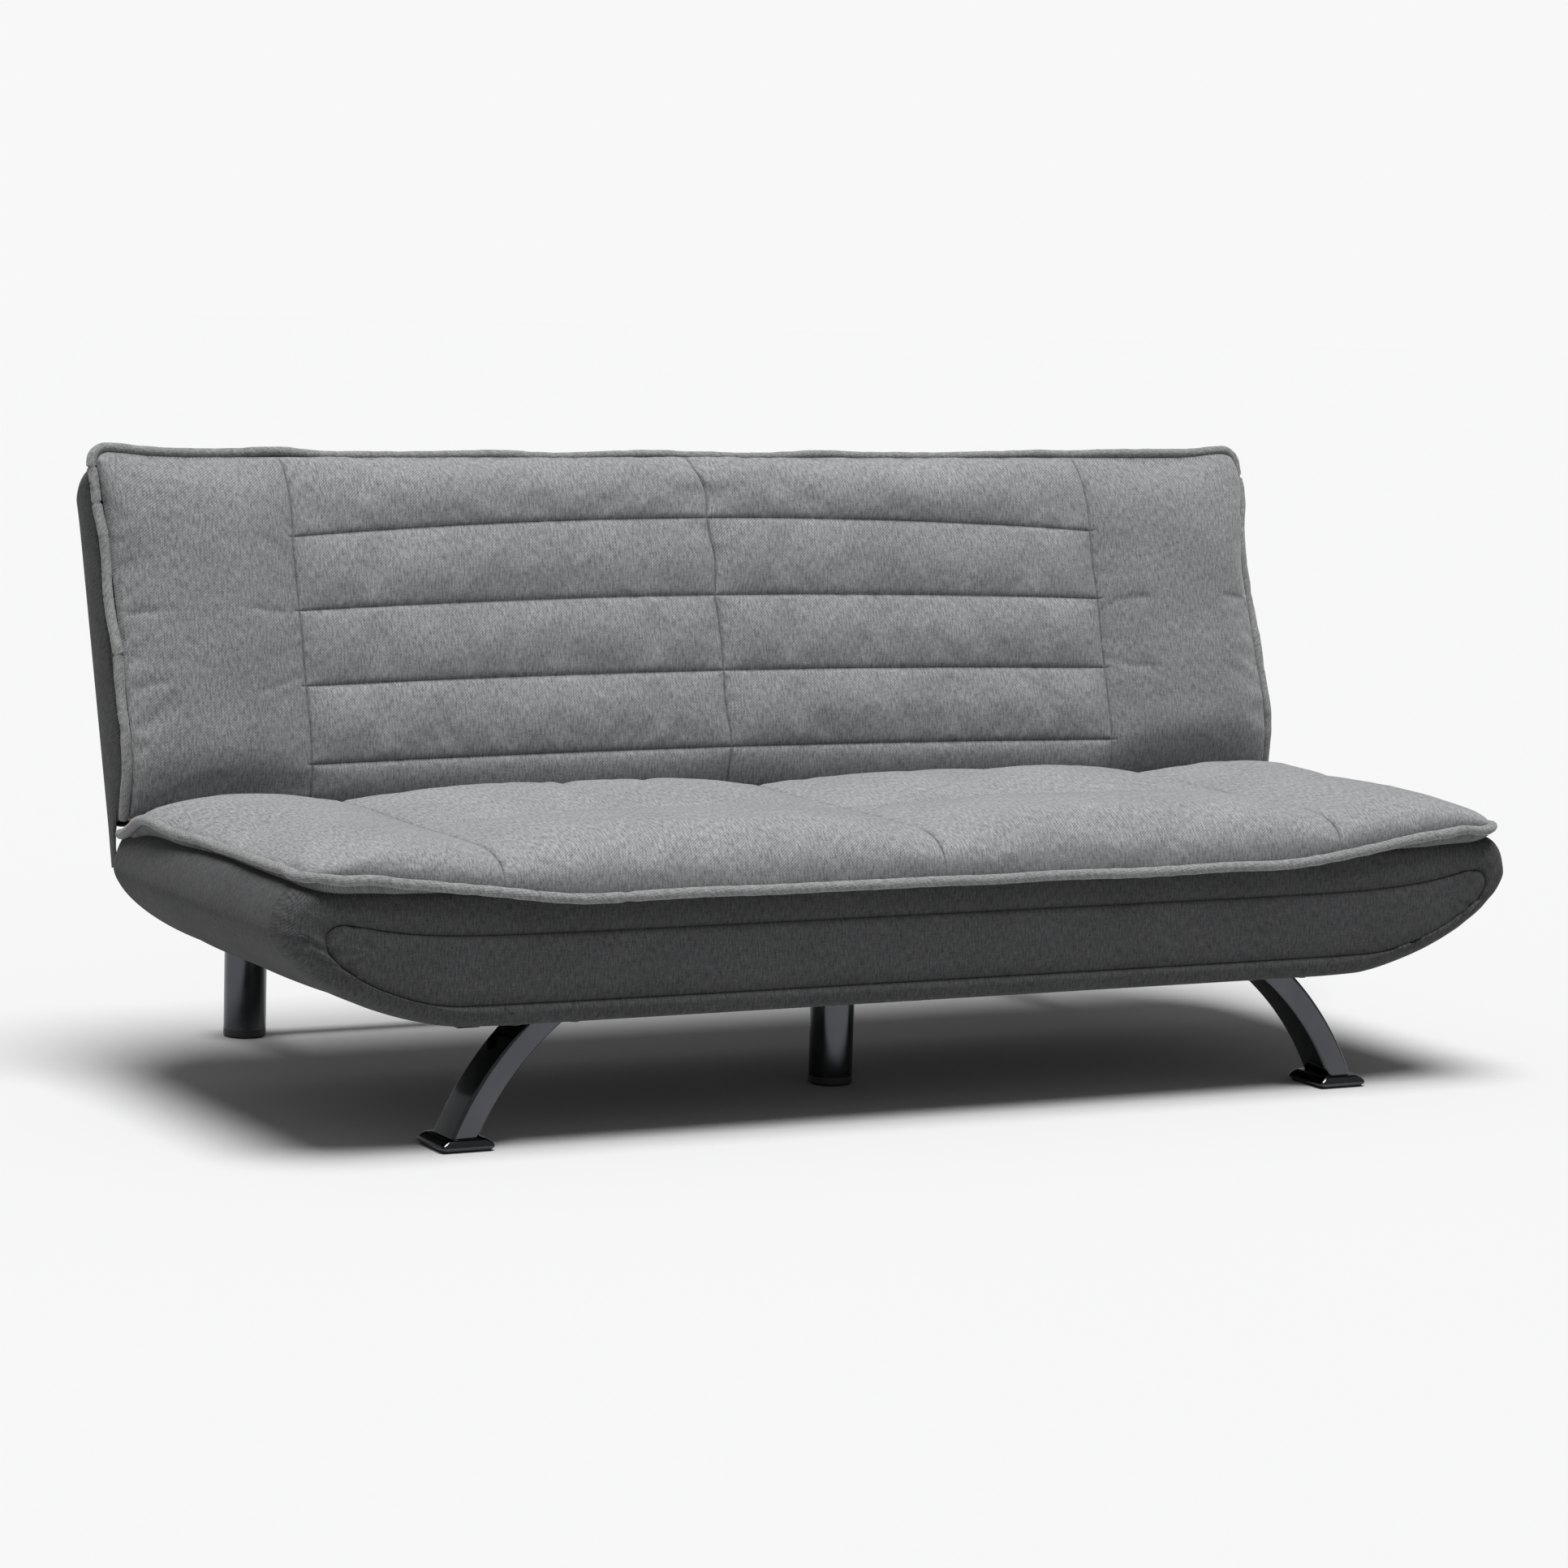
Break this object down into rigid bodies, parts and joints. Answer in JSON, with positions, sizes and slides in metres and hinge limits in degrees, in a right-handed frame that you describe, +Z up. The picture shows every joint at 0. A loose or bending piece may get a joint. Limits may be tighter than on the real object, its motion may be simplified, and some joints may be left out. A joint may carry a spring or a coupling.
{
  "type": "futon sofa bed",
  "caption": "Armless click-clack futon sofa bed with a boat-shaped upholstered seat, pillow-top pad and channelled backrest that reclines to a flat bed.",
  "frame": {"origin": "on the floor, at the middle of the overall box in X and Y", "axes": "+X along the sofa to its right-hand end as seen from behind the seat front, +Y from front to back, +Z up"},
  "size_m": [1.822, 0.936, 0.8379],
  "materials": {
    "plywood": "satin",
    "timber": "matte",
    "hardboard": "matte",
    "bottom_cloth": "matte",
    "spring_steel": "satin",
    "clip_steel": "satin",
    "felt": "matte",
    "pad_fabric": "matte",
    "piping_fabric": "matte",
    "hull_fabric": "matte",
    "frame_paint": "satin",
    "leg_chrome": "gloss",
    "foot_chrome": "gloss",
    "glide_rubber": "matte",
    "cap_plastic": "satin",
    "zinc_steel": "satin"
  },
  "bodies": {
    "base": {"front_board": "plywood", "rear_board": "plywood", "middle_rib": "plywood", "joist_left": "timber", "joist_right": "timber", "bilge_board_left": "hardboard", "bilge_board_right": "hardboard", "bottom_panel": "bottom_cloth", "seat_springs": "spring_steel", "seat_spring_clips": "clip_steel", "seat_felt": "felt", "seat_pad": "pad_fabric", "seat_piping": "piping_fabric", "front_cover": "hull_fabric", "rear_cover": "hull_fabric", "side_cover_left": "hull_fabric", "side_cover_right": "hull_fabric", "long_rail_left": "frame_paint", "long_rail_right": "frame_paint", "rear_cross_tube": "frame_paint", "centre_cross_tube": "frame_paint", "front_leg_left": "leg_chrome", "front_leg_right": "leg_chrome", "front_foot_left": "foot_chrome", "front_foot_right": "foot_chrome", "front_glides": "glide_rubber", "leg_plates": "frame_paint", "rear_leg_left": "leg_chrome", "rear_leg_right": "leg_chrome", "rear_leg_caps": "cap_plastic", "centre_leg": "leg_chrome", "centre_leg_cap": "cap_plastic", "leg_bolts": "zinc_steel", "hinge_seat_plate_left": "zinc_steel", "hinge_seat_plate_right": "zinc_steel", "hinge_pins": "zinc_steel", "hinge_washers": "zinc_steel", "hinge_seat_bolts": "zinc_steel", "pawl_pins": "zinc_steel", "pawl_springs": "zinc_steel"},
    "backrest": {"back_top_rail": "timber", "back_bottom_rail": "timber", "back_stile_left": "timber", "back_stile_right": "timber", "back_centre_post": "timber", "back_springs": "spring_steel", "back_spring_clips": "clip_steel", "back_felt": "felt", "back_pad": "pad_fabric", "back_piping": "piping_fabric", "back_rear_cover": "hull_fabric", "back_boxing_left": "hull_fabric", "back_boxing_right": "hull_fabric", "back_boxing_top": "hull_fabric", "hinge_back_plate_left": "zinc_steel", "hinge_back_plate_right": "zinc_steel", "hinge_back_bolts": "zinc_steel"},
    "pawl_left": {"pawl_left": "zinc_steel"},
    "pawl_right": {"pawl_right": "zinc_steel"}
  },
  "joints": [
    {"name": "back_recline", "type": "hinge", "parent": "base", "child": "backrest", "pos_m": [0, 0.18, 0.3], "axis": [-1, 0, 0], "range_deg": [-8, 75]},
    {"name": "pawl_drop_left", "type": "hinge", "parent": "base", "child": "pawl_left", "pos_m": [-0.854, 0.133, 0.283], "axis": [-1, 0, 0], "range_deg": [0, 7], "stiffness_Nm_per_rad": 0.3},
    {"name": "pawl_drop_right", "type": "hinge", "parent": "base", "child": "pawl_right", "pos_m": [0.854, 0.133, 0.283], "axis": [-1, 0, 0], "range_deg": [0, 7], "stiffness_Nm_per_rad": 0.3}
  ]
}
